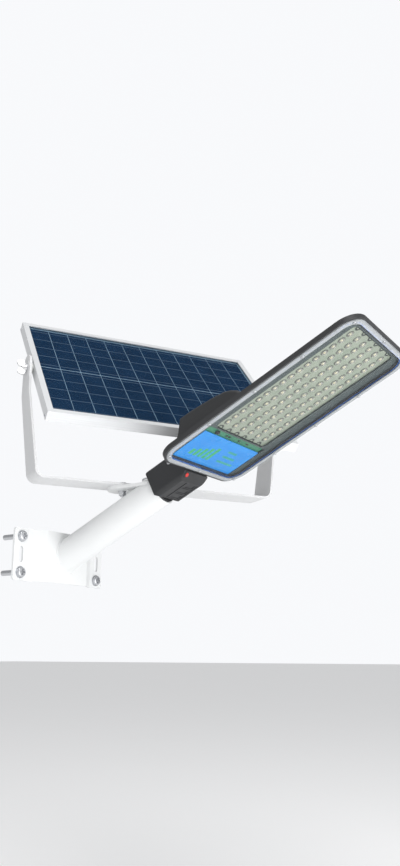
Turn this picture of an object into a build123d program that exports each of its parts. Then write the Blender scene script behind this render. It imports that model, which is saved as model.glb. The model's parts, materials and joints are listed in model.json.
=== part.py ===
from build123d import *
import math
import os

# Solar street lamp: wall or pole plate with a slanted arm tube, lamp head and
# a solar panel on a panning, tilting yoke. Millimetres, +Z up.
# The origin is the centre of the back of the wall plate; the arm points to -Y.

# ---- driving dimensions -------------------------------------------------
ARM_TILT = 26.0            # arm axis above the horizontal, degrees
ARM_RISE = 6.0             # arm axis above the plate's centre, at its face
TUBE_R = 30.0
TUBE_WALL = 2.0
TUBE_END = 245.0           # arm lengths are counted from the plate's face

PLATE_W = 250.0
PLATE_H = 96.0
PLATE_T = 4.0
PLATE_DEPTH = 22.0         # back of the flanges to the front of the raised face
FACE_HALF = 58.0
SLOPE_RUN = 30.0
BOLT_X = 107.0
BOLT_Z = 33.0
BOLT_R = 5.0
STUD_BEHIND = 40.0         # wall bolt standing out behind the plate

LUG_AT = 195.0             # arm length at which the lug meets the tube's top
LUG_T = 6.0
LUG_HALF = 28.0
LUG_BACK = 32.5            # pan bolt behind the place where the lug meets the tube
PAN_BOLT_R = 4.0

PAN = -31.5                # yoke's long direction from +X, degrees
YOKE_OFFSET = 66.0         # middle of the yoke's bar from the pan bolt
YOKE_T = 4.0
YOKE_W = 64.0              # width of the bar; the legs narrow towards their tops
LEG_W = 46.0
BAR_HALF = 239.0
LEG_X = 259.0              # middle of a leg's straight end
LEG_TOP = 232.0
BEND_H = 158.0             # where the flared leg turns parallel to the panel's side
PIVOT_H = 208.0            # pivot above the middle of the bar
PIVOT_R = 3.0

TILT = 47.5                # panel's plane from the horizontal, degrees
PANEL_L = 500.0
PANEL_W = 338.0
PANEL_T = 20.0
PIVOT_Z = 3.15             # panel's middle plane above the pivot axis
RAIL_WALL = 2.0
LIP = 11.0
LIP_T = 2.0
SHELF_Z = 3.7              # laminate's back face above the panel's middle plane
FLANGE = 18.0
SHEET_T = 0.5
CELL_T = 0.3
RIBBON_T = 0.2
CELL_W = 38.4
CELL_H = 154.0
CELL_PITCH = 39.6
ROW_GAP = 2.4
CELL_COLS = 12
BUSBARS = (0.06, 0.28, 0.5, 0.72, 0.94)

HEAD_X = 124.0             # half width of the lamp head
HEAD_NEAR = 321.0          # arm lengths at which the head begins and ends
HEAD_FAR = 728.0
HEAD_R = 38.0
HEAD_BACK = -8.0           # depths are counted from the arm's axis, + to the light
HEAD_FRONT = 12.0
BACK_RISE = 12.0
BACK_RUN = 30.0
LEDGE = 11.0
SHELF = 1.5                # ledge that carries the boards
POCKET_FLOOR = -4.5
BOARD_T = 1.6
RIM_FACE = 14.5
PANE_T = 2.0
RIM_IN = 4.0               # insets from the outline of the head
PANE_IN = 6.0
SCREW_IN = 8.2
SEAL_IN = 10.5
OPEN_IN = 12.5
POCKET_IN = 15.0
WELL_IN = 36.0

LED_COLS = 16
LED_ROWS = 6
LED_PITCH_S = 16.5
LED_PITCH_X = 26.5
LED_FIRST = 443.2
LENS_R = 6.0
BEZEL_TOP = 6.5

BATTERY_X = 100.0
BATTERY_WALL = 2.5
BATTERY_BASE = -8.0
BATTERY_PROFILE = ((356, -8), (367, -22), (379, -39.5), (404, -39), (446, -35),
                   (472, -30.6), (484, -25), (493, -18), (500, -8))
CELL21_R = 10.6
CELL21_L = 70.0
CELL21_PITCH = 21.5
CELL21_FIRST = 389.5
TRAY_T = 1.2

FITTER_X = 37.0
FITTER_NEAR = 245.3
FITTER_FRONT = 25.0
FITTER_BACK = -30.0
SPIGOT_FROM = 190.0        # the fitter's spigot reaches back into the tube
SPIGOT_R = 27.92
SPIGOT_BORE = 22.0
SLOPE_FROM = 304.0         # arm length at which the fitter's front starts to fall
SLOPE_TO = 323.0
SLOPE_END = 14.5
BACK_FROM = 292.0          # the fitter's back falls to the head from here
BACK_TO = 350.0
BACK_END = -11.0
LOCK_AT = (220, 237)       # screws through the tube that lock the spigot

BUTTON_X = -27.0
BUTTON_S = 315.0
BUTTON_R = 4.0
BUTTON_OUT = 2.2

os.makedirs("parts", exist_ok=True)

# ---- frames ---------------------------------------------------------------
_t = math.radians(ARM_TILT)
ALONG = Vector(0, -math.cos(_t), math.sin(_t))
DOWN = Vector(0, -math.sin(_t), -math.cos(_t))
ARM_BASE = Vector(0, -PLATE_DEPTH, ARM_RISE)
# arm frame: x to the side, y along the arm, z out of the lamp's face
ARM = Plane(origin=ARM_BASE, x_dir=(1, 0, 0), z_dir=DOWN).location

LUG_MEET = ARM_BASE + ALONG * LUG_AT - DOWN * TUBE_R
LUG_Z = LUG_MEET.Z
BOLT_Y = LUG_MEET.Y + LUG_BACK
_p = math.radians(PAN)
SIDE = Vector(math.cos(_p), math.sin(_p), 0)
FRONT = Vector(math.sin(_p), -math.cos(_p), 0)
BAR_Z = LUG_Z + LUG_T + YOKE_T / 2
BAR_MID = Vector(0, BOLT_Y, BAR_Z) + SIDE * YOKE_OFFSET
# yoke frame: x along the bar, z up, at the bar's middle
YOKE = Plane(origin=BAR_MID, x_dir=SIDE, z_dir=(0, 0, 1)).location
PIVOT = BAR_MID + Vector(0, 0, PIVOT_H)
_a = math.radians(TILT)
NORMAL = FRONT * math.sin(_a) + Vector(0, 0, math.cos(_a))
# panel frame: x along the pivot axis, y up the slope, z to the sun, mid panel
PANEL = Plane(origin=PIVOT, x_dir=SIDE, z_dir=NORMAL).location * Pos(0, 0, PIVOT_Z)


# ---- helpers --------------------------------------------------------------
def save(node, shape):
    """Write one sub-part; several solids are written as a group."""
    items = shape if isinstance(shape, (list, tuple)) else [shape]
    solids = [solid for item in items for solid in item.solids()]
    body = solids[0] if len(solids) == 1 else Compound(children=solids)
    body.label = node
    export_step(body, f"parts/{node}.step")


def block(x0, x1, y0, y1, z0, z1):
    """Plain box from its limits."""
    middle = Pos((x0 + x1) / 2, (y0 + y1) / 2, (z0 + z1) / 2)
    return middle * Box(x1 - x0, y1 - y0, z1 - z0)


def rod(radius, start, direction, length):
    """Round bar from a start point along a direction."""
    place = Plane(origin=start, z_dir=direction).location
    return place * Cylinder(radius, length, align=(Align.CENTER, Align.CENTER, Align.MIN))


def slab(half_x, near, far, low, high, radius):
    """Rounded plate from its half width, its two ends and its two depths."""
    face = RectangleRounded(2 * half_x, far - near, radius)
    return Pos(0, (near + far) / 2, low) * extrude(face, high - low)


def layer(inset, low, high):
    """Slice with the outline of the lamp head, moved inwards by inset."""
    return slab(HEAD_X - inset, HEAD_NEAR + inset, HEAD_FAR - inset, low, high,
                max(HEAD_R - inset, 6))


def profile_bar(points, half_x):
    """Bar along x from a list of (arm length, depth) corners."""
    return Plane.YZ.location * extrude(Polygon(*points, align=None), half_x, both=True)


def bent_strip(points, radius, thickness, width):
    """Flat bar bent along a line in the x-y plane, as wide as stated in z."""
    line = FilletPolyline(*points, radius=radius)
    return extrude(trace(line, thickness), width / 2, both=True)


def washer(outer, inner, thickness):
    """Flat ring standing on z=0."""
    return extrude(Circle(outer) - Circle(inner), thickness)


def hexagon(across, height):
    """Hexagonal block standing on z=0, its top corners slightly rounded off."""
    block_ = extrude(RegularPolygon(across / 2, 6, major_radius=False), height)
    top = Pos(0, 0, height / 2) * Cylinder(across * 0.575, height)
    return block_ & chamfer(top.edges().group_by(Axis.Z)[-1], across * 0.07)


def pan_screw(radius, length, head_r, head_h):
    """Cross-recessed screw: the shank runs to -z, the head stands on z=0."""
    head = Pos(0, 0, head_h / 2) * Cylinder(head_r, head_h)
    head = fillet(head.edges().group_by(Axis.Z)[-1], head_h * 0.55)
    slot = Box(head_r * 1.15, head_r * 0.26, head_h)
    cross = slot + Rot(0, 0, 90) * slot
    shank = Pos(0, 0, -length / 2) * Cylinder(radius, length)
    return shank + head - Pos(0, 0, head_h) * cross


# ---- wall plate -------------------------------------------------------------
def wall_plate():
    front = PLATE_T / 2 - PLATE_DEPTH
    back = -PLATE_T / 2
    slope = FACE_HALF + SLOPE_RUN
    points = [(-PLATE_W / 2, back), (-slope, back), (-FACE_HALF, front),
              (FACE_HALF, front), (slope, back), (PLATE_W / 2, back)]
    plate = bent_strip(points, 8, PLATE_T, PLATE_H)
    corners = [e for e in plate.edges().filter_by(Axis.Y) if abs(e.center().X) > slope]
    plate = fillet(corners, 6)
    for x in (-BOLT_X, BOLT_X):
        for z in (-BOLT_Z, BOLT_Z):
            plate -= rod(BOLT_R + 0.5, (x, 1, z), (0, -1, 0), PLATE_T + 2)
        place = Plane(origin=(x, 1, 0), x_dir=(0, 0, 1), z_dir=(0, -1, 0)).location
        plate -= place * extrude(SlotOverall(30, 11), PLATE_T + 2)
    return plate


def wall_fastener(shape, front):
    """The same fastener at the plate's four bolts, facing -Y."""
    out = []
    for x in (-BOLT_X, BOLT_X):
        for z in (-BOLT_Z, BOLT_Z):
            out.append(Plane(origin=(x, -front, z), z_dir=(0, -1, 0)).location * shape)
    return out


washer_t = 1.5
save("wall_plate", wall_plate())
save("wall_washers", wall_fastener(washer(11, BOLT_R + 0.5, washer_t), PLATE_T))
grip = PLATE_T + washer_t
bolt = pan_screw(BOLT_R, grip + STUD_BEHIND, 9.5, 5.5)
bolt += Pos(0, 0, -grip / 2) * Cylinder(BOLT_R + 0.3, grip)
save("wall_bolts", wall_fastener(bolt, grip))

# ---- arm tube and lug ---------------------------------------------------------
start = ARM_BASE - ALONG * 60
tube = rod(TUBE_R, start, ALONG, TUBE_END + 60)
for s in LOCK_AT:
    tube += rod(7.5, ARM_BASE + ALONG * s, -DOWN, TUBE_R + 3.5)
tube -= rod(TUBE_R - TUBE_WALL, start, ALONG, TUBE_END + 60)
for s in LOCK_AT:
    tube -= rod(3.05, ARM_BASE + ALONG * s, -DOWN, 60)
save("arm_tube", tube - block(-60, 60, -PLATE_DEPTH, 80, -90, 90))


def arm_lug():
    """Horizontal tongue coped to the tube's top, on an upright web."""
    end = LUG_MEET.Y - 46
    tongue = block(-LUG_HALF, LUG_HALF, end, BOLT_Y, LUG_Z, LUG_Z + LUG_T)
    tongue += rod(LUG_HALF, (0, BOLT_Y, LUG_Z), (0, 0, 1), LUG_T)
    web = block(-3, 3, LUG_MEET.Y - 20, BOLT_Y - 11, LUG_Z - 20, LUG_Z)
    lug = tongue + web - rod(PAN_BOLT_R + 0.1, (0, BOLT_Y, LUG_Z - 1), (0, 0, 1), LUG_T + 2)
    lug -= rod(TUBE_R, start, ALONG, 500)
    under = ARM_BASE + ALONG * 200
    keep = [s for s in lug.solids() if (s.center() - under).dot(DOWN) < 0]
    return keep


save("arm_lug", arm_lug())

pan_top = BAR_Z + YOKE_T / 2
save("pan_washers", [Pos(0, BOLT_Y, pan_top) * washer(9.5, PAN_BOLT_R + 0.3, washer_t),
                     Pos(0, BOLT_Y, LUG_Z - washer_t) * washer(8.5, PAN_BOLT_R + 0.3, washer_t)])
shank = rod(PAN_BOLT_R, (0, BOLT_Y, LUG_Z - 10.5), (0, 0, 1), pan_top + washer_t - LUG_Z + 10.5)
save("pan_bolt", shank + Pos(0, BOLT_Y, pan_top + washer_t) * hexagon(13, 5.3))
nut = hexagon(13, 6.5) - Pos(0, 0, 3.25) * Cylinder(PAN_BOLT_R + 0.02, 9)
save("pan_nut", Pos(0, BOLT_Y, LUG_Z - washer_t) * Rot(180, 0, 15) * nut)


# ---- yoke ---------------------------------------------------------------------
def yoke():
    points = [(-LEG_X, LEG_TOP), (-LEG_X, BEND_H), (-BAR_HALF, 0),
              (BAR_HALF, 0), (LEG_X, BEND_H), (LEG_X, LEG_TOP)]
    bar = Plane.XZ.location * bent_strip(points, 15, YOKE_T, YOKE_W)
    wide = YOKE_W / 2
    narrow = LEG_W / 2
    taper = Polygon((-wide, -10), (wide, -10), (wide, 25), (narrow, LEG_TOP + 5),
                    (-narrow, LEG_TOP + 5), (-wide, 25), align=None)
    bar = bar & (Plane.YZ.location * extrude(taper, LEG_X + 20, both=True))
    tops = [e for e in bar.edges().filter_by(Axis.X) if e.center().Z > LEG_TOP - 1]
    bar = fillet(tops, 22)
    for x in (-YOKE_OFFSET, 0, YOKE_OFFSET):
        bar -= Pos(x, 0, 0) * Cylinder(PAN_BOLT_R + 0.06, 20)
    bar -= rod(PIVOT_R + 0.3, (-LEG_X - 10, 0, PIVOT_H), (1, 0, 0), 2 * LEG_X + 20)
    return YOKE * bar


save("yoke", yoke())


# ---- panel frame ----------------------------------------------------------------
def rail(length, across):
    """Frame rail along x, outer face at y=-across/2, mitred at both ends."""
    half = length / 2
    edge = -across / 2
    top = PANEL_T / 2
    body = block(-half, half, edge, edge + RAIL_WALL, -top, top)
    body += block(-half, half, edge, edge + LIP, top - LIP_T, top)
    body += block(-half, half, edge, edge + LIP, SHELF_Z - 1.5, SHELF_Z)
    body += block(-half, half, edge, edge + FLANGE, -top, 1.5 - top)
    mitre = Polygon((-half, edge), (half, edge), (half - 40, edge + 40),
                    (40 - half, edge + 40), align=None)
    return body & (Pos(0, 0, -top) * extrude(mitre, PANEL_T))


def side_rail(turn):
    """Short rail, drilled for the pivot insert and two frame screws."""
    body = Rot(0, 0, turn) * rail(PANEL_W, PANEL_L)
    body -= rod(4.6, (-PANEL_L, 0, -PIVOT_Z), (1, 0, 0), 2 * PANEL_L)
    for y in (-PANEL_W / 2 + 7, PANEL_W / 2 - 7):
        body -= rod(1.6, (-PANEL_L, y, -PIVOT_Z), (1, 0, 0), 2 * PANEL_L)
    return body


save("frame_rail_bottom", PANEL * rail(PANEL_L, PANEL_W))
save("frame_rail_top", PANEL * Rot(0, 0, 180) * rail(PANEL_L, PANEL_W))
save("frame_rail_left", PANEL * side_rail(-90))
save("frame_rail_right", PANEL * side_rail(90))

keys = []
screws = []
for sx in (-1, 1):
    for sy in (-1, 1):
        x = PANEL_L / 2 - RAIL_WALL
        y = PANEL_W / 2 - RAIL_WALL
        low = 1.6 - PANEL_T / 2
        high = SHELF_Z - 1.6
        key = block(x - 32, x, y - 9, y, low, high) + block(x - 9, x, y - 32, y, low, high)
        key -= rod(1.5, (x - 12, y - 5, -PIVOT_Z), (1, 0, 0), 20)
        screw = pan_screw(1.5, 10, 2.8, 1.8)
        screw = Plane(origin=(PANEL_L / 2, y - 5, -PIVOT_Z), z_dir=(1, 0, 0)).location * screw
        for shape, group in ((key, keys), (screw, screws)):
            if sx < 0:
                shape = mirror(shape, Plane.YZ)
            if sy < 0:
                shape = mirror(shape, Plane.XZ)
            group.append(PANEL * shape)
save("corner_keys", keys)
save("frame_screws", screws)

# ---- laminate ---------------------------------------------------------------------
half_l = PANEL_L / 2 - RAIL_WALL - 0.4
half_w = PANEL_W / 2 - RAIL_WALL - 0.4
cell_z = SHELF_Z + SHEET_T
glass_z = cell_z + CELL_T + RIBBON_T
save("panel_backsheet", PANEL * block(-half_l, half_l, -half_w, half_w, SHELF_Z, cell_z))
save("panel_glass", PANEL * block(-half_l, half_l, -half_w, half_w, glass_z,
                                  PANEL_T / 2 - LIP_T))
cells = []
ribbons = []
cells_half = (CELL_COLS * CELL_PITCH) / 2
for side in (-1, 1):
    low = side * (CELL_H + ROW_GAP) / 2 - CELL_H / 2
    for column in range(CELL_COLS):
        x = (column - (CELL_COLS - 1) / 2) * CELL_PITCH
        cells.append(PANEL * block(x - CELL_W / 2, x + CELL_W / 2, low, low + CELL_H,
                                   cell_z, cell_z + CELL_T))
    for share in BUSBARS:
        y = low + share * CELL_H
        ribbons.append(PANEL * block(-cells_half, cells_half, y - 0.6, y + 0.6,
                                     cell_z + CELL_T, glass_z))
save("solar_cells", cells)
save("cell_ribbons", ribbons)

# ---- junction box behind the panel -----------------------------------------------
JB_Y = 122.0
JB_DEPTH = 17.0
jb_low = SHELF_Z - JB_DEPTH
jb = block(-46, 46, JB_Y - 28, JB_Y + 28, jb_low, SHELF_Z)
jb = fillet(jb.edges().filter_by(Axis.Z), 5)
jb -= block(-43.5, 43.5, JB_Y - 25.5, JB_Y + 25.5, jb_low - 1, SHELF_Z - 2)
jb -= rod(4.5, (24, JB_Y - 40, jb_low + 8), (0, 1, 0), 20)
save("junction_box", PANEL * jb)
lid = block(-46, 46, JB_Y - 28, JB_Y + 28, jb_low - 2.5, jb_low)
lid = fillet(lid.edges().filter_by(Axis.Z), 5)
lid = chamfer(lid.edges().group_by(Axis.Z)[0], 1)
save("junction_lid", PANEL * lid)
blocks = []
for x in (-24, -8, 8, 24):
    terminal = block(x - 5, x + 5, JB_Y - 4, JB_Y + 12, SHELF_Z - 9, SHELF_Z - 2)
    terminal -= rod(2, (x, JB_Y - 5, SHELF_Z - 5.5), (0, 1, 0), 8)
    blocks.append(PANEL * terminal)
save("junction_terminals", blocks)


def gland(across, bore):
    """Cable gland on z=0: threaded stub inwards, nut and domed cap outwards."""
    cap = Pos(0, 0, 8) * Cylinder(across * 0.44, 8)
    cap = fillet(cap.edges().group_by(Axis.Z)[-1], 2.5)
    body = hexagon(across, 4.5) + cap + Pos(0, 0, -1.25) * Cylinder(across * 0.3, 2.5)
    return body - Cylinder(bore, 60)


jb_gland = Plane(origin=(24, JB_Y - 28, jb_low + 8), z_dir=(0, -1, 0)).location
save("junction_gland", PANEL * jb_gland * gland(15, 2.6))

# ---- pivots and wing bolts -------------------------------------------------------
insert = rod(4.6, (PANEL_L / 2 - 18, 0, -PIVOT_Z), (1, 0, 0), 18)
insert += rod(7.5, (PANEL_L / 2, 0, -PIVOT_Z), (1, 0, 0), 1)
insert -= rod(PIVOT_R + 0.05, (0, 0, -PIVOT_Z), (1, 0, 0), PANEL_L)
spacer_x = PANEL_L / 2 + 1
leg_in = LEG_X - YOKE_T / 2
leg_out = LEG_X + YOKE_T / 2
axis_washer = Plane(origin=(spacer_x, 0, -PIVOT_Z), z_dir=(1, 0, 0)).location
spacer = axis_washer * washer(9.5, PIVOT_R + 0.3, leg_in - spacer_x)
outer_washer = Plane(origin=(leg_out, 0, PIVOT_H), z_dir=(1, 0, 0)).location * washer(
    9, PIVOT_R + 0.3, 1.4)
save("pivot_inserts", [PANEL * insert, PANEL * mirror(insert, Plane.YZ)])
save("pivot_spacers", [PANEL * spacer, PANEL * mirror(spacer, Plane.YZ)])
save("wing_washers", [YOKE * outer_washer, YOKE * mirror(outer_washer, Plane.YZ)])


def wing_bolt():
    """Wing bolt along +x: the shank enters the panel, the wings are outside."""
    seat = leg_out + 1.4
    bolt_ = rod(PIVOT_R, (PANEL_L / 2 - 16, 0, 0), (1, 0, 0), seat - PANEL_L / 2 + 16)
    hub = Plane(origin=(seat, 0, 0), z_dir=(1, 0, 0)).location * Cone(
        7, 5, 8, align=(Align.CENTER, Align.CENTER, Align.MIN))
    ear = extrude(RectangleRounded(14, 13, 4.5), 1.6, both=True)
    for sign in (-1, 1):
        hub += Pos(seat + 8.5, sign * 9.5, 0) * Rot(0, 0, -sign * 20) * ear
    return bolt_ + hub


wing = Rot(25, 0, 0) * wing_bolt()
right_bolt = Pos(0, 0, -PIVOT_Z) * wing
save("wing_bolt_right", PANEL * right_bolt)
save("wing_bolt_left", PANEL * mirror(right_bolt, Plane.YZ))

# ---- lamp head --------------------------------------------------------------------
outer = layer(0, HEAD_BACK, HEAD_FRONT)
outer = chamfer(outer.faces().sort_by(Axis.Z)[0].edges(), length=BACK_RISE, length2=BACK_RUN)
cover_bosses = [(x, s) for x in (-84, 84) for s in (376, 478)]
board_screw_at = [(x, s) for x in (-91.5, 91.5) for s in (437, 524, 611, 697)]
arc_mid = (HEAD_R - SCREW_IN) * math.sqrt(0.5)
corner_x = HEAD_X - HEAD_R + arc_mid
cover_screw_at = [(0, HEAD_NEAR + SCREW_IN), (0, HEAD_FAR - SCREW_IN)]
for x in (-1, 1):
    cover_screw_at.append((x * corner_x, HEAD_NEAR + HEAD_R - arc_mid))
    cover_screw_at.append((x * corner_x, HEAD_FAR - HEAD_R + arc_mid))
    for s in (431, 524.5, 618):
        cover_screw_at.append((x * (HEAD_X - SCREW_IN), s))
fitter_screw_at = [(x, 331) for x in (-24, 24)]
FITTER_SEAT = -13.0


def upright(radius, x, s, low, high):
    """Round bar along the depth direction."""
    return Pos(x, s, (low + high) / 2) * Cylinder(radius, high - low)


def lamp_housing():
    body = outer - layer(RIM_IN - 0.5, LEDGE, HEAD_FRONT + 1)
    body -= layer(POCKET_IN, SHELF, HEAD_FRONT + 1)
    body -= layer(WELL_IN, POCKET_FLOOR, SHELF + 1)
    body -= layer(SEAL_IN, LEDGE - 1, LEDGE + 1) - layer(SEAL_IN + 3, LEDGE - 2, LEDGE + 2)
    for x, s in cover_bosses:
        body -= upright(1.8, x, s, HEAD_BACK - 1, POCKET_FLOOR + 1)
    for x, s in board_screw_at:
        body -= upright(1.5, x, s, SHELF - 4, SHELF + 1)
    for x, s in cover_screw_at:
        body -= upright(1.5, x, s, LEDGE - 6, LEDGE + 1)
    for x, s in fitter_screw_at:
        body -= upright(2.5, x, s, HEAD_BACK - 1, 8)
    body -= upright(7, 0, 440, HEAD_BACK - 1, POCKET_FLOOR + 1)
    body -= rod(3, (0, HEAD_NEAR - 5, 5.2), (0, 1, 0), 25)
    return body


save("lamp_housing", ARM * lamp_housing())


def slip_fitter():
    """Casting that carries the head, with a spigot that turns in the arm tube."""
    points = [(FITTER_NEAR, FITTER_FRONT - 5), (FITTER_NEAR + 6, FITTER_FRONT),
              (SLOPE_FROM, FITTER_FRONT), (SLOPE_TO, SLOPE_END), (335, 6),
              (348, -2), (BACK_TO, BACK_END), (BACK_FROM, FITTER_BACK),
              (FITTER_NEAR + 4, FITTER_BACK), (FITTER_NEAR, FITTER_BACK + 4)]
    body = profile_bar(points, FITTER_X)
    section = RectangleRounded(2 * FITTER_X, FITTER_FRONT - FITTER_BACK, 9)
    stock = Plane.XZ.location * extrude(section, -400)
    body = body & (Pos(0, 0, (FITTER_FRONT + FITTER_BACK) / 2) * stock)
    body -= block(-60, 60, HEAD_NEAR, 400, HEAD_FRONT - 4, 60)
    body -= outer
    body = max(body.solids(), key=lambda solid: solid.volume)
    body += rod(SPIGOT_R, (0, SPIGOT_FROM, 0), (0, 1, 0), FITTER_NEAR - SPIGOT_FROM + 3)
    body -= rod(SPIGOT_BORE, (0, SPIGOT_FROM - 1, 0), (0, 1, 0), 268 - SPIGOT_FROM)
    body -= block(-30, 30, 262, 318, -18, 10)
    body -= rod(3, (0, 310, 5.2), (0, 1, 0), 30)
    for x, s in fitter_screw_at:
        body -= upright(5, x, s, -60, FITTER_SEAT)
        body -= upright(2.5, x, s, FITTER_SEAT - 1, 12)
    for sign in (-1, 1):
        body -= rod(2, (0, SIDE_SCREW_S, SIDE_SCREW_H), (sign, 0, 0), 60)
    body -= button_place * Pos(0, 0, -4) * Cylinder(BUTTON_R + 0.1, 14)
    body -= gland_place * Cylinder(4.5, 30)
    body -= block(-13.5, -11, 253, 302, FITTER_FRONT - 1.2, FITTER_FRONT + 1)
    for step in range(3):
        low = 253 + 16.6 * step
        body -= block(-7, 25, low, low + 15.2, FITTER_FRONT - 0.8, FITTER_FRONT + 1)
        body -= block(-3, 21, low + 3, low + 12.2, FITTER_FRONT - 1.6, FITTER_FRONT)
    return body


SIDE_SCREW_S = 297.0
SIDE_SCREW_H = -16.0
slope_run = SLOPE_TO - SLOPE_FROM
slope_fall = FITTER_FRONT - SLOPE_END
button_h = FITTER_FRONT - slope_fall * (BUTTON_S - SLOPE_FROM) / slope_run
button_plane = Plane(origin=(BUTTON_X, BUTTON_S, button_h), x_dir=(1, 0, 0),
                     z_dir=(0, slope_fall, slope_run))
button_place = button_plane.location
back_run = BACK_TO - BACK_FROM
back_fall = BACK_END - FITTER_BACK
gland_s = 306.0
gland_h = FITTER_BACK + (gland_s - BACK_FROM) * back_fall / back_run
gland_place = Plane(origin=(0, gland_s, gland_h), z_dir=(0, back_fall, -back_run)).location
save("slip_fitter", ARM * slip_fitter())
save("inlet_gland", ARM * gland_place * gland(15, 2.6))

lock = rod(3, (0, 0, SPIGOT_R + 0.25), (0, 0, 1), 8)
lock += Pos(0, 0, TUBE_R + 4) * hexagon(10, 4)
save("lock_screws", [Plane(origin=ARM_BASE + ALONG * s, x_dir=(1, 0, 0), z_dir=-DOWN).location
                     * lock for s in LOCK_AT])
side_fix = pan_screw(2, 6, 3.4, 2)
save("fitter_side_screws", [ARM * Plane(origin=(sign * FITTER_X, SIDE_SCREW_S, SIDE_SCREW_H),
                                        z_dir=(sign, 0, 0)).location * side_fix
                            for sign in (-1, 1)])
fix = pan_screw(2.5, 7 - FITTER_SEAT, 4.4, 3.5)
save("fitter_screws", [ARM * Pos(x, s, FITTER_SEAT) * Rot(180, 0, 0) * fix
                       for x, s in fitter_screw_at])

# ---- front cover --------------------------------------------------------------------
rim = layer(RIM_IN, LEDGE, RIM_FACE) - layer(OPEN_IN, LEDGE - 1, RIM_FACE + 1)
rim = rim - layer(PANE_IN, LEDGE - 1, LEDGE + PANE_T)
pane = layer(PANE_IN + 0.2, LEDGE, LEDGE + PANE_T)
seal = layer(SEAL_IN, LEDGE - 1, LEDGE) - layer(SEAL_IN + 3, LEDGE - 2, LEDGE + 1)
for x, s in cover_screw_at:
    rim -= upright(1.6, x, s, LEDGE, RIM_FACE + 1)
    pane -= upright(1.8, x, s, LEDGE - 1, LEDGE + 3)
rim = chamfer(rim.faces().sort_by(Axis.Z)[-1].outer_wire().edges(), 1)
save("cover_rim", ARM * rim)
save("front_pane", ARM * pane)
save("cover_seal", ARM * seal)
m3 = pan_screw(1.5, RIM_FACE - LEDGE + 5.5, 2.9, 1.9)
save("cover_screws", [ARM * Pos(x, s, RIM_FACE) * m3 for x, s in cover_screw_at])

# ---- boards, LEDs and the blue label sheet --------------------------------------------
board_top = SHELF + BOARD_T
led_board = slab(96, 426, 706, SHELF, board_top, 6)
for x, s in board_screw_at:
    led_board -= upright(1.7, x, s, 0, 5)
save("led_board", ARM * led_board)
fix3 = pan_screw(1.5, 5, 2.6, 1.7)
save("board_screws", [ARM * Pos(x, s, board_top) * fix3 for x, s in board_screw_at])
dome_h = 3.0
dome_r = (LENS_R ** 2 + dome_h ** 2) / (2 * dome_h)
dome = Pos(0, 0, 1.2 + dome_h - dome_r) * Sphere(dome_r)
dome = dome & (Pos(0, 0, 1.2 + dome_h) * Box(20, 20, 2 * dome_h))
lens = Pos(0, 0, 0.6) * Cylinder(LENS_R, 1.2) + dome - Box(4.6, 4.6, 2.6)
chip = Pos(0, 0, 0.5) * Box(3.6, 3.6, 1.0)
led_at = [(LED_PITCH_X * (row - (LED_ROWS - 1) / 2), LED_FIRST + LED_PITCH_S * column)
          for column in range(LED_COLS) for row in range(LED_ROWS)]
save("led_lenses", [ARM * Pos(x, s, board_top) * lens for x, s in led_at])
save("led_chips", [ARM * Pos(x, s, board_top) * chip for x, s in led_at])

bezel = layer(POCKET_IN + 0.3, 5, BEZEL_TOP)
bezel += layer(POCKET_IN + 0.3, SHELF, 5) - layer(POCKET_IN + 2.3, SHELF - 1, 6)
bezel -= slab(84, 425.5, 708, 3, 8, 10)
bezel -= block(-94.5, 94.5, 330, 423, 0, 8)
save("inner_bezel", ARM * bezel)

save("controller_board", ARM * slab(93, 342, 422, SHELF, board_top, 3))
sheet = slab(92.5, 337, 410, 4.8, 6.2, 3)
for x in (-80, 80):
    for s in (350, 402):
        sheet += upright(3, x, s, board_top, 5)
save("blue_panel", ARM * sheet)
receiver = block(-65, -57, 413, 419, board_top, board_top + 4)
receiver += Pos(-61, 416, board_top + 4) * Sphere(2.4)
save("ir_receiver", ARM * receiver)
bits = [block(x, x + 4.5, 414, 417, board_top, board_top + 1.2) for x in (-30, -21, 12, 40)]
bits += [upright(6, x, 385, POCKET_FLOOR + 0.7, SHELF) for x in (-40, -22)]
bits += [block(x, x + 15, 366, 376, SHELF - 4, SHELF) for x in (-60, -10, 20, 44)]
bits += [block(10, 26, 388, 402, SHELF - 2.5, SHELF)]
save("board_components", [ARM * b for b in bits])

# ---- battery box on the head's back -------------------------------------------------
cover = profile_bar(BATTERY_PROFILE, BATTERY_X)
ends = [e for e in cover.edges()
        if abs(abs(e.center().X) - BATTERY_X) < 0.1 and e.center().Z < BATTERY_BASE - 1]
cover = fillet(ends, 6)
cavity_face = offset(Polygon(*BATTERY_PROFILE, align=None), -BATTERY_WALL)
cavity = Plane.YZ.location * extrude(cavity_face, BATTERY_X - BATTERY_WALL, both=True)
cover -= cavity
cover -= Pos(0, 0, BATTERY_WALL) * cavity
cover_outside = profile_bar(BATTERY_PROFILE, BATTERY_X - 1)
for x, s in cover_bosses:
    cover += upright(4.5, x, s, -50, BATTERY_BASE) & cover_outside
    cover -= upright(1.5, x, s, -20, BATTERY_BASE + 1)
save("battery_cover", ARM * cover)
m3_long = pan_screw(1.5, 12, 2.8, 1.9)
save("battery_cover_screws", [ARM * Pos(x, s, POCKET_FLOOR) * m3_long
                              for x, s in cover_bosses])

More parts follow.
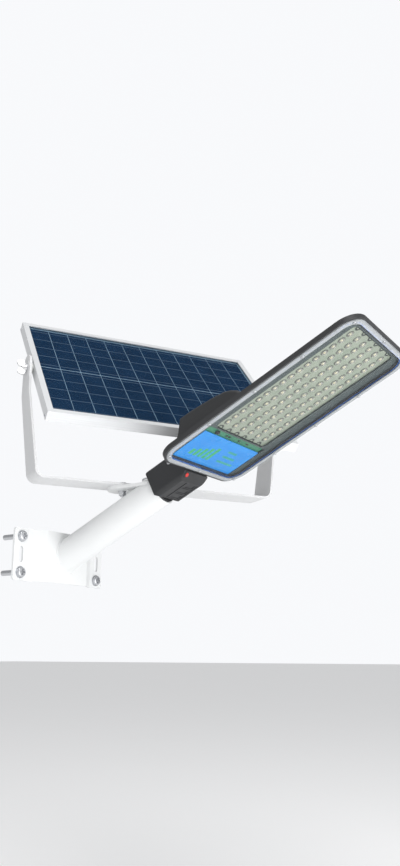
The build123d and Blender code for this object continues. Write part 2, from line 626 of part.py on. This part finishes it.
tray = block(-74, 74, 378, 468, BATTERY_BASE - TRAY_T, BATTERY_BASE)
for s in (380, 464):
    tray += block(-60, 60, s - 2, s + 2, BATTERY_BASE - 5, BATTERY_BASE)
tray -= upright(7, 0, 440, -30, 0)
cell_h = BATTERY_BASE - TRAY_T - CELL21_R
cell_rows = [CELL21_FIRST + CELL21_PITCH * row for row in range(4)]
battery = []
for s in cell_rows:
    tray -= rod(CELL21_R, (-100, s, cell_h), (1, 0, 0), 200)
    for sign in (-1, 1):
        can = rod(CELL21_R, (sign * 2.6, s, cell_h), (sign, 0, 0), CELL21_L - 1)
        can += rod(4, (sign * (1.6 + CELL21_L), s, cell_h), (sign, 0, 0), 1)
        battery.append(can)
links = []
for x in (-CELL21_L - 3, -2.6, 2.2, CELL21_L + 2.6):
    links.append(block(x, x + 0.4, cell_rows[0] - 7, cell_rows[-1] + 7, cell_h - 4, cell_h + 4))
save("battery_tray", ARM * tray)
save("battery_cells", [ARM * b for b in battery])
save("battery_links", [ARM * b for b in links])

# ---- power button ----------------------------------------------------------------------
ring = washer(6.5, BUTTON_R + 0.3, 1.2)
ring = chamfer(ring.faces().sort_by(Axis.Z)[-1].outer_wire().edges(), 0.6)
button = Pos(0, 0, (BUTTON_OUT - 5) / 2) * Cylinder(BUTTON_R, BUTTON_OUT + 5)
button = fillet(button.edges().group_by(Axis.Z)[-1], 0.8)
switch = block(-2.6, 2.6, -2.6, 2.6, -11, -7.5) + upright(1.5, 0, 0, -7.5, -6.5)
save("button_ring", ARM * button_place * ring)
save("power_button", ARM * button_place * button)
save("button_switch", ARM * button_place * switch)
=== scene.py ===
import json
import math
import bmesh
import bpy
from mathutils import Matrix, Vector


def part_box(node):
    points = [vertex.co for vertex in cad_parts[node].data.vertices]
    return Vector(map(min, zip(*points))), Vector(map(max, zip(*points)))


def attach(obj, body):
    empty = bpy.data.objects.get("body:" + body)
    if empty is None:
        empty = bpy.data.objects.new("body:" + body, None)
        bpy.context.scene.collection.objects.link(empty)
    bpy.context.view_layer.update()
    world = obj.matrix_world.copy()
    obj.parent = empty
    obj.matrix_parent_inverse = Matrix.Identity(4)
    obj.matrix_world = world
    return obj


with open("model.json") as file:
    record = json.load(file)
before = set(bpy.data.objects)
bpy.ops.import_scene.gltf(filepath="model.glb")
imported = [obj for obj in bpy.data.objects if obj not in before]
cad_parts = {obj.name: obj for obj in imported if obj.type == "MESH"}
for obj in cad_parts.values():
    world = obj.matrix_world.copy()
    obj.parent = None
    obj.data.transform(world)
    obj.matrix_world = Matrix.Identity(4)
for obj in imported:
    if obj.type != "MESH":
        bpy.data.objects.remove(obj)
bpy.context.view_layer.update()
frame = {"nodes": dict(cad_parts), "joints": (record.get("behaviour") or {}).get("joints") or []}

# Looks for the solar street lamp: materials for every CAD node, weld beads,
# printed marks and a studio. Metres, in the same frame as the CAD part.
JOINTS = {joint["name"]: joint for joint in frame["joints"]}
NODES = frame["nodes"]

# ---- frames read from the joints ------------------------------------------
PANEL_TILT = math.radians(47.5)
PANEL_LIFT = 0.00315           # panel's middle plane above the pivot axis
ARM_PIVOT_AT = 0.260           # arm length of the head_roll joint's point
TUBE_R = 0.030
BACKSHEET_MIDDLE = 0.0040      # height above the panel's middle plane
FINGER_PITCH = 0.0016          # fine grid lines on a cell
LED_X = 0.01325                # one LED's place across and along the head
LED_ALONG = 0.4432
LED_PITCH_X = 0.0265
LED_PITCH_ALONG = 0.0165

arm_y = Vector(JOINTS["head_roll"]["axis"])
arm_z = Vector((1, 0, 0)).cross(arm_y)
arm_origin = Vector(JOINTS["head_roll"]["pos_m"]) - arm_y * ARM_PIVOT_AT
side = Vector(JOINTS["panel_tilt"]["axis"])
front = Vector((side.y, -side.x, 0))
normal = front * math.sin(PANEL_TILT) + Vector((0, 0, math.cos(PANEL_TILT)))
panel_origin = Vector(JOINTS["panel_tilt"]["pos_m"]) + normal * PANEL_LIFT


def frame_matrix(origin, x, y, z):
    """Placement whose columns are the three axes and the origin."""
    rows = [(x[i], y[i], z[i], origin[i]) for i in range(3)]
    return Matrix(rows + [(0, 0, 0, 1)])


ARM = frame_matrix(arm_origin, Vector((1, 0, 0)), arm_y, arm_z)
PANEL = frame_matrix(panel_origin, side, normal.cross(side), normal)


# ---- material building blocks -----------------------------------------------
class Nodes:
    """Small helper that adds and links the nodes of one material."""

    def __init__(self, name):
        self.material = bpy.data.materials.new(name)
        self.material.use_nodes = True
        self.tree = self.material.node_tree
        self.tree.nodes.clear()
        self.output = self.add("ShaderNodeOutputMaterial")
        self.shader = self.add("ShaderNodeBsdfPrincipled")
        self.tree.links.new(self.shader.outputs[0], self.output.inputs[0])
        self.coords = self.add("ShaderNodeTexCoord").outputs["Object"]

    def add(self, kind, **values):
        node = self.tree.nodes.new(kind)
        for key, value in values.items():
            setattr(node, key, value)
        return node

    def link(self, out, to, socket):
        self.tree.links.new(out, to.inputs[socket])

    def set(self, **values):
        for key, value in values.items():
            self.shader.inputs[key.replace("_", " ")].default_value = value

    def placed(self, placement):
        """Object coordinates turned into a sub-assembly's own frame."""
        back = placement.inverted()
        node = self.add("ShaderNodeMapping", vector_type="POINT")
        node.inputs["Location"].default_value = back.to_translation()
        node.inputs["Rotation"].default_value = back.to_euler("XYZ")
        self.link(self.coords, node, "Vector")
        return node.outputs[0]

    def stretch(self, source, scale):
        node = self.add("ShaderNodeMapping", vector_type="POINT")
        node.inputs["Scale"].default_value = scale
        self.link(source, node, "Vector")
        return node.outputs[0]

    def noise(self, scale, detail=4.0, rough=0.55, source=None):
        node = self.add("ShaderNodeTexNoise")
        node.inputs["Scale"].default_value = scale
        node.inputs["Detail"].default_value = detail
        node.inputs["Roughness"].default_value = rough
        self.link(source or self.coords, node, "Vector")
        return node.outputs["Fac"]

    def ramp(self, source, stops):
        node = self.add("ShaderNodeValToRGB")
        ramp = node.color_ramp
        while len(ramp.elements) < len(stops):
            ramp.elements.new(0.5)
        for element, (place, colour) in zip(ramp.elements, stops):
            element.position = place
            element.color = tuple(colour) + (1,)
        self.link(source, node, "Fac")
        return node.outputs["Color"]

    def span(self, source, low, high, out_low, out_high):
        node = self.add("ShaderNodeMapRange")
        for socket, value in zip(("From Min", "From Max", "To Min", "To Max"),
                                 (low, high, out_low, out_high)):
            node.inputs[socket].default_value = value
        self.link(source, node, "Value")
        return node.outputs[0]

    def math(self, operation, first, second=None):
        node = self.add("ShaderNodeMath", operation=operation)
        for index, value in enumerate((first, second)):
            if value is None:
                continue
            if isinstance(value, (int, float)):
                node.inputs[index].default_value = value
            else:
                self.tree.links.new(value, node.inputs[index])
        return node.outputs[0]

    def blend(self, factor, first, second):
        """Mix of two colours by a factor between 0 and 1."""
        node = self.add("ShaderNodeMix", data_type="RGBA")
        self.tree.links.new(factor, node.inputs[0])
        for index, value in ((6, first), (7, second)):
            if isinstance(value, tuple):
                node.inputs[index].default_value = value + (1,)
            else:
                self.tree.links.new(value, node.inputs[index])
        return node.outputs[2]

    def bump(self, height, strength, distance):
        node = self.add("ShaderNodeBump")
        node.inputs["Strength"].default_value = strength
        node.inputs["Distance"].default_value = distance
        self.link(height, node, "Height")
        return node.outputs[0]


def shade(colour, factor):
    return tuple(min(1.0, channel * factor) for channel in colour)


def coated(name, colour, roughness, grain=900, depth=0.00004, drift=0.06, coat=0.0):
    """Painted or moulded surface: fine grain, slow colour drift, uneven gloss."""
    m = Nodes(name)
    slow = m.noise(9, 3)
    m.link(m.ramp(slow, [(0.3, shade(colour, 1 - drift)), (0.7, shade(colour, 1 + drift))]),
           m.shader, "Base Color")
    fine = m.noise(grain, 3)
    m.link(m.span(m.noise(40, 5), 0.3, 0.7, roughness * 0.85, roughness * 1.15),
           m.shader, "Roughness")
    m.link(m.bump(fine, 0.5, depth), m.shader, "Normal")
    if coat:
        m.set(Coat_Weight=coat, Coat_Roughness=0.12)
    return m.material


def brushed(name, colour, roughness, placement, along=(6, 900, 900), metal=1.0):
    """Metal with fine drawn lines along one direction of a sub-assembly."""
    m = Nodes(name)
    streaks = m.noise(1.0, 4, 0.6, m.stretch(m.placed(placement), along))
    m.link(m.ramp(streaks, [(0.3, shade(colour, 0.93)), (0.7, shade(colour, 1.05))]),
           m.shader, "Base Color")
    m.link(m.span(streaks, 0.3, 0.7, roughness * 0.8, roughness * 1.25), m.shader,
           "Roughness")
    m.link(m.bump(streaks, 0.25, 0.00003), m.shader, "Normal")
    m.set(Metallic=metal)
    return m.material


def clear(name, tint, roughness, alpha, grain=300, gloss=0.5):
    """Clear sheet or lens: mostly see-through, with a glossy, slightly uneven face."""
    m = Nodes(name)
    m.link(m.ramp(m.noise(12, 2), [(0.3, shade(tint, 0.96)), (0.7, tint)]), m.shader,
           "Base Color")
    m.link(m.span(m.noise(60, 3), 0.3, 0.7, roughness * 0.8, roughness * 1.2), m.shader,
           "Roughness")
    m.link(m.bump(m.noise(grain, 2), 0.08, 0.00005), m.shader, "Normal")
    m.set(Alpha=alpha, IOR=1.49, Specular_IOR_Level=gloss)
    return m.material


# ---- materials of the CAD nodes --------------------------------------------
WHITE = (0.83, 0.84, 0.84)
ZINC = (0.62, 0.63, 0.65)
CHARCOAL = (0.030, 0.031, 0.033)

white_paint = coated("white_powder_coat", WHITE, 0.36, grain=1400, depth=0.00005,
                     drift=0.015, coat=0.15)
# painted shade: the white yoke gets a darker copy of the white powder coat
yoke_paint_painted_shade = coated("yoke_powder_coat_painted_shade", (0.74, 0.745, 0.75), 0.40, grain=1400,
                    depth=0.00005, drift=0.02, coat=0.1)
zinc = brushed("zinc_plate", ZINC, 0.30, ARM, along=(500, 500, 500))
nickel = brushed("nickel_plate", (0.74, 0.74, 0.74), 0.20, PANEL, along=(300, 300, 300))
charcoal = coated("charcoal_texture_coat", CHARCOAL, 0.50, grain=1900, depth=0.00012,
                  drift=0.10)
fitter_coat = coated("fitter_texture_coat", (0.024, 0.025, 0.027), 0.46, grain=1700,
                     depth=0.00012, drift=0.10)
moulded_black = coated("moulded_black", (0.028, 0.028, 0.030), 0.52, grain=1200,
                       depth=0.00008)
moulded_pale = coated("moulded_pale", (0.72, 0.72, 0.69), 0.45, grain=900)
frame_long = brushed("frame_anodised_long", (0.84, 0.85, 0.86), 0.38, PANEL,
                     along=(8, 1200, 1200), metal=0.35)
frame_short = brushed("frame_anodised_short", (0.84, 0.85, 0.86), 0.38, PANEL,
                      along=(1200, 8, 1200), metal=0.35)
seal_rubber = coated("seal_blue_rubber", (0.02, 0.13, 0.50), 0.45, grain=700)
button_red = coated("button_red", (0.62, 0.018, 0.012), 0.28, grain=500, coat=0.3)
brass = brushed("clamp_brass", (0.70, 0.50, 0.20), 0.35, PANEL, along=(400, 400, 400))
battery_wrap = coated("battery_sleeve", (0.03, 0.13, 0.42), 0.30, grain=600, coat=0.2)
bezel_plastic = coated("bezel_plastic", (0.055, 0.075, 0.075), 0.48, grain=1500)
package_black = coated("package_black", (0.025, 0.025, 0.028), 0.40, grain=2400)
rim_clear = clear("rim_clear", (0.72, 0.75, 0.77), 0.16, 0.42, grain=150)
cover_pane = clear("pane_clear", (0.30, 0.33, 0.35), 0.08, 0.05, gloss=0.3)
lens_clear = clear("lens_clear", (0.95, 0.96, 0.86), 0.05, 0.24, gloss=1.0)
panel_glass = clear("panel_glass", (0.05, 0.12, 0.22), 0.30, 0.05, grain=1800, gloss=0.15)
ribbon_metal = brushed("cell_ribbon", (0.10, 0.17, 0.26), 0.45, PANEL, along=(10, 900, 900),
                       metal=0.4)


def phosphor():
    """Yellow LED phosphor with slight differences in tint."""
    m = Nodes("led_phosphor")
    m.link(m.ramp(m.noise(260, 2), [(0.3, (0.90, 0.74, 0.26)), (0.7, (1.0, 0.93, 0.56))]),
           m.shader, "Base Color")
    m.link(m.span(m.noise(900, 2), 0.3, 0.7, 0.3, 0.5), m.shader, "Roughness")
    m.link(m.bump(m.noise(2500, 2), 0.3, 0.00003), m.shader, "Normal")
    return m.material


def circuit(name, mask, copper, pitch):
    """Solder mask with faint copper areas under it, in the arm's frame."""
    m = Nodes(name)
    local = m.placed(ARM)
    cells = m.add("ShaderNodeTexVoronoi", distance="MANHATTAN")
    cells.inputs["Scale"].default_value = pitch
    cells.inputs["Randomness"].default_value = 0.35
    m.link(local, cells, "Vector")
    area = m.span(cells.outputs["Distance"], 0.35, 0.42, 0.0, 1.0)
    tint = m.blend(area, mask, copper)
    m.link(m.blend(m.span(m.noise(14, 3), 0.3, 0.7, 0.0, 0.5), tint, shade(mask, 0.75)),
           m.shader, "Base Color")
    m.link(m.span(m.noise(80, 4), 0.3, 0.7, 0.30, 0.42), m.shader, "Roughness")
    m.link(m.bump(area, 0.4, 0.00005), m.shader, "Normal")
    return m.material


def silicon():
    """Dark blue cell: fine grid fingers across it and a slow shift between cells."""
    m = Nodes("solar_cell")
    local = m.placed(PANEL)
    split = m.add("ShaderNodeSeparateXYZ")
    m.link(local, split, "Vector")
    finger = m.math("FRACT", m.math("DIVIDE", split.outputs["X"], FINGER_PITCH))
    line = m.math("LESS_THAN", finger, 0.10)
    body = m.ramp(m.noise(18, 3, 0.5, local),
                  [(0.3, (0.005, 0.019, 0.050)), (0.7, (0.008, 0.028, 0.070))])
    m.link(m.blend(m.math("MULTIPLY", line, 0.22), body, (0.05, 0.10, 0.17)), m.shader,
           "Base Color")
    m.link(m.span(m.noise(120, 3), 0.3, 0.7, 0.24, 0.36), m.shader, "Roughness")
    m.link(m.bump(line, 0.3, 0.00003), m.shader, "Normal")
    m.set(Specular_IOR_Level=0.0)
    return m.material


def backsheet():
    """White backsheet, seen tinted blue through the cover glass between the cells."""
    m = Nodes("backsheet")
    local = m.placed(PANEL)
    split = m.add("ShaderNodeSeparateXYZ")
    m.link(local, split, "Vector")
    in_front = m.math("GREATER_THAN", split.outputs["Z"], BACKSHEET_MIDDLE)
    white = m.ramp(m.noise(25, 3), [(0.3, (0.72, 0.72, 0.71)), (0.7, (0.78, 0.78, 0.77))])
    m.link(m.blend(in_front, white, (0.30, 0.46, 0.60)), m.shader, "Base Color")
    m.link(m.span(m.noise(200, 3), 0.3, 0.7, 0.4, 0.55), m.shader, "Roughness")
    m.link(m.bump(m.noise(900, 2), 0.2, 0.00003), m.shader, "Normal")
    return m.material


def led_mask():
    """LED board: pale grey-green mask with painted shade, a dark ring round every LED."""
    m = Nodes("led_board_painted_shade")
    split = m.add("ShaderNodeSeparateXYZ")
    m.link(m.placed(ARM), split, "Vector")

    def from_nearest(value, first, pitch):
        """Signed distance from the nearest LED; the 100 keeps the count positive."""
        steps = m.math("DIVIDE", m.math("SUBTRACT", value, first), pitch)
        share = m.math("FRACT", m.math("ADD", steps, 100.5))
        return m.math("MULTIPLY", m.math("SUBTRACT", share, 0.5), pitch)

    across = from_nearest(split.outputs["X"], LED_X, LED_PITCH_X)
    along = from_nearest(split.outputs["Y"], LED_ALONG, LED_PITCH_ALONG)
    reach = m.math("SQRT", m.math("ADD", m.math("MULTIPLY", across, across),
                                  m.math("MULTIPLY", along, along)))
    # painted shade: a dark ring round each LED stands for the shade round its lens
    ring = m.math("MULTIPLY", m.span(reach, 0.0030, 0.0042, 0.0, 1.0),
                  m.span(reach, 0.0058, 0.0078, 1.0, 0.0))
    ground = m.ramp(m.noise(30, 4), [(0.3, (0.27, 0.32, 0.25)), (0.7, (0.35, 0.39, 0.31))])
    # dark colour of the painted shade ring round each LED
    m.link(m.blend(ring, ground, (0.012, 0.018, 0.016)), m.shader, "Base Color")
    m.link(m.span(m.noise(80, 4), 0.3, 0.7, 0.30, 0.42), m.shader, "Roughness")
    m.link(m.bump(ring, 0.3, 0.00005), m.shader, "Normal")
    return m.material


pcb_green = circuit("controller_mask", (0.015, 0.16, 0.075), (0.03, 0.24, 0.12), 160)


def printed_sheet():
    """Blue sheet with green bars, short green lines and a thin outline in a second blue."""
    m = Nodes("blue_label_sheet")
    split = m.add("ShaderNodeSeparateXYZ")
    m.link(m.placed(ARM), split, "Vector")

    def inside(value, low, high):
        above = m.math("GREATER_THAN", value, low)
        return m.math("MULTIPLY", above, m.math("LESS_THAN", value, high))

    def patch(x0, x1, y0, y1):
        across = inside(split.outputs["X"], x0, x1)
        return m.math("MULTIPLY", across, inside(split.outputs["Y"], y0, y1))

    ground = m.ramp(m.noise(12, 3), [(0.3, (0.002, 0.255, 0.74)), (0.7, (0.004, 0.295, 0.82))])
    frame_line = m.math("SUBTRACT", patch(-0.086, 0.086, 0.3435, 0.4035),
                        patch(-0.0852, 0.0852, 0.3443, 0.4027))
    colour = m.blend(frame_line, ground, (0.02, 0.36, 0.80))
    for bar in range(5):
        low = -0.066 + 0.0135 * bar
        mark = patch(low, low + 0.009, 0.352, 0.366 + 0.005 * bar)
        colour = m.blend(mark, colour, (0.03, 0.42, 0.16))
    for stripe in range(3):
        mark = patch(0.020, 0.072 - 0.012 * stripe, 0.356 + 0.014 * stripe,
                     0.361 + 0.014 * stripe)
        colour = m.blend(mark, colour, (0.01, 0.36, 0.30))
    m.link(colour, m.shader, "Base Color")
    m.link(m.span(m.noise(50, 4), 0.3, 0.7, 0.24, 0.36), m.shader, "Roughness")
    m.link(m.bump(m.noise(700, 3), 0.4, 0.00004), m.shader, "Normal")
    m.set(Coat_Weight=0.1, Coat_Roughness=0.12, Specular_IOR_Level=0.25)
    return m.material


MATERIALS = {
    "wall_plate": white_paint, "arm_tube": white_paint, "arm_lug": white_paint,
    "wall_bolts": zinc, "wall_washers": zinc, "pan_bolt": zinc, "pan_nut": zinc,
    "pan_washers": zinc, "yoke": yoke_paint_painted_shade, "wing_washers": zinc,
    "frame_rail_top": frame_long, "frame_rail_bottom": frame_long,
    "frame_rail_left": frame_short, "frame_rail_right": frame_short,
    "corner_keys": moulded_black, "frame_screws": zinc, "panel_glass": panel_glass,
    "solar_cells": silicon(), "cell_ribbons": ribbon_metal, "panel_backsheet": backsheet(),
    "junction_box": moulded_black, "junction_lid": moulded_black,
    "junction_terminals": brass, "junction_gland": moulded_black,
    "pivot_inserts": zinc, "pivot_spacers": moulded_pale, "wing_bolt_left": nickel,
    "wing_bolt_right": nickel, "lamp_housing": charcoal, "slip_fitter": fitter_coat,
    "fitter_screws": zinc, "fitter_side_screws": zinc, "lock_screws": zinc, "inlet_gland": moulded_black,
    "cover_rim": rim_clear, "front_pane": cover_pane, "cover_seal": seal_rubber,
    "cover_screws": zinc, "led_board": led_mask(), "board_screws": zinc,
    "led_lenses": lens_clear, "led_chips": phosphor(), "inner_bezel": bezel_plastic,
    "controller_board": pcb_green, "board_components": package_black,
    "ir_receiver": package_black, "blue_panel": printed_sheet(),
    "battery_cover": charcoal, "battery_cover_screws": zinc,
    "battery_tray": moulded_pale, "battery_cells": battery_wrap, "battery_links": nickel,
    "button_ring": moulded_black, "power_button": button_red,
    "button_switch": moulded_black,
}


def dress(node, material):
    """Gives a CAD node one material in all its slots."""
    thing = NODES[node]
    if not thing.material_slots:
        thing.data.materials.append(material)
    for entry in thing.material_slots:
        entry.material = material


for node, material in MATERIALS.items():
    dress(node, material)


# ---- weld beads ------------------------------------------------------------------
LUG_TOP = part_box("arm_lug")[1].z


def bead(name, line, radius, closed, body, material):
    """Rippled weld bead that follows a line of points, on one CAD body."""
    mesh = bpy.data.meshes.new(name)
    build = bmesh.new()
    sides = 10
    end_share = 0.3            # an open bead starts this thin and swells step by step
    swell = 0.12
    count = len(line)
    rings = []
    for index, point in enumerate(line):
        before = line[index - 1] if closed or index > 0 else line[0]
        after = line[(index + 1) % count] if closed or index < count - 1 else line[-1]
        forward = (after - before).normalized()
        across = forward.cross(Vector((0.3, 1, 0.2))).normalized()
        up = forward.cross(across)
        ripple = 1 + 0.13 * math.sin(index * 1.9) + 0.05 * math.sin(index * 0.61)
        from_end = min(index, count - 1 - index)
        taper = 1 if closed else min(1, end_share + from_end * swell)
        ring = []
        for corner in range(sides):
            turn = 2 * math.pi * corner / sides
            offset = across * math.cos(turn) + up * math.sin(turn)
            ring.append(build.verts.new(point + offset * radius * ripple * taper))
        rings.append(ring)
    joined = list(zip(rings, rings[1:]))
    if closed:
        joined.append((rings[-1], rings[0]))
    else:
        build.faces.new(rings[0])
        build.faces.new(rings[-1][::-1])
    for first, second in joined:
        for corner in range(sides):
            after = (corner + 1) % sides
            build.faces.new((first[corner], second[corner], second[after], first[after]))
    bmesh.ops.recalc_face_normals(build, faces=build.faces)
    for face in build.faces:
        face.smooth = True
    build.to_mesh(mesh)
    build.free()
    thing = bpy.data.objects.new(name, mesh)
    bpy.context.scene.collection.objects.link(thing)
    mesh.materials.append(material)
    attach(thing, body)


def on_tube(turn, level):
    """Point on the tube's outside at a turn from its top, where it crosses a level."""
    out = arm_origin + Vector((math.sin(turn), 0, 0)) * TUBE_R - arm_z * math.cos(turn) * TUBE_R
    return out + arm_y * ((level - out.z) / arm_y.z)


def around_plate(turn):
    """Point where the tube meets the plate's raised face."""
    out = Vector((math.sin(turn), 0, 0)) * TUBE_R - arm_z * math.cos(turn) * TUBE_R
    return arm_origin + out - arm_y * (out.y / arm_y.y)


weld_paint = coated("weld_white_coat", WHITE, 0.34, grain=500, depth=0.0002, drift=0.03,
                    coat=0.15)
bead("plate_weld", [around_plate(2 * math.pi * k / 220) for k in range(220)], 0.0024, True,
     "arm", weld_paint)
for half, sign in (("left", -1), ("right", 1)):
    turns = [sign * math.radians(8 + 54 * k / 70) for k in range(71)]
    bead("lug_weld_" + half, [on_tube(turn, LUG_TOP) for turn in turns], 0.0020, False,
         "arm", weld_paint)

# ---- studio --------------------------------------------------------------------
def plain(name, colour, roughness):
    m = Nodes(name)
    m.link(m.ramp(m.noise(1.5, 2), [(0.3, shade(colour, 0.99)), (0.7, colour)]), m.shader,
           "Base Color")
    m.set(Roughness=roughness, Emission_Color=(1, 1, 1, 1), Emission_Strength=0.22)
    return m.material


def floor():
    mesh = bpy.data.meshes.new("studio_floor")
    half = 30.0
    mesh.from_pydata([(-half, -half, 0), (half, -half, 0), (half, half, 0), (-half, half, 0)],
                     [], [(0, 1, 2, 3)])
    thing = bpy.data.objects.new("studio_floor", mesh)
    thing.location = (0, 0, -0.62)
    bpy.context.scene.collection.objects.link(thing)
    mesh.materials.append(plain("studio_floor", (0.90, 0.90, 0.90), 0.8))


def lamp(name, place, target, size, power):
    data = bpy.data.lights.new(name, "AREA")
    data.shape = "RECTANGLE"
    data.size, data.size_y = size
    data.energy = power
    thing = bpy.data.objects.new(name, data)
    thing.location = place
    look = Vector(target) - Vector(place)
    thing.rotation_euler = look.to_track_quat("-Z", "Y").to_euler()
    bpy.context.scene.collection.objects.link(thing)


floor()
middle = (0.0, -0.33, 0.2)
lamp("key", (-2.0, -2.6, 2.2), middle, (2.2, 2.2), 30)
lamp("fill", (-2.4, -0.6, -0.1), middle, (1.6, 1.6), 7)
lamp("front", (0.6, -3.0, 0.1), middle, (2.4, 1.6), 15)
lamp("below", (-0.1, -1.35, -0.55), (0.0, -0.5, 0.3), (1.3, 1.3), 16)
lamp("top", (-0.8, -1.0, 2.7), middle, (1.6, 1.6), 24)

world = bpy.data.worlds.new("studio")
bpy.context.scene.world = world
world.use_nodes = True
background = world.node_tree.nodes["Background"]
background.inputs["Color"].default_value = (0.97, 0.98, 1.0, 1)
rays = world.node_tree.nodes.new("ShaderNodeLightPath")
# dimmer light on the part than the background that the camera sees
level = world.node_tree.nodes.new("ShaderNodeMapRange")
level.inputs["To Min"].default_value = 0.46
level.inputs["To Max"].default_value = 0.97
world.node_tree.links.new(rays.outputs["Is Camera Ray"], level.inputs["Value"])
world.node_tree.links.new(level.outputs[0], background.inputs["Strength"])
bpy.context.scene.view_settings.view_transform = "Standard"

# ---- camera ----------------------------------------------------------------------
CAMERA_AT = Vector((-1.1802, -1.0717, -0.1738))
AZIMUTH = math.radians(-57.66)
ELEVATION = math.radians(-15.27)
camera_data = bpy.data.cameras.new("camera")
camera_data.sensor_fit = "AUTO"
camera_data.sensor_width = 36
camera_data.lens = 33.39
camera_data.clip_start = 0.01
camera = bpy.data.objects.new("camera", camera_data)
back = Vector((math.sin(AZIMUTH) * math.cos(ELEVATION),
               -math.cos(AZIMUTH) * math.cos(ELEVATION), math.sin(ELEVATION)))
right = Vector((math.cos(AZIMUTH), math.sin(AZIMUTH), 0))
camera.matrix_world = frame_matrix(CAMERA_AT, right, back.cross(right), back)
bpy.context.scene.collection.objects.link(camera)
bpy.context.scene.camera = camera
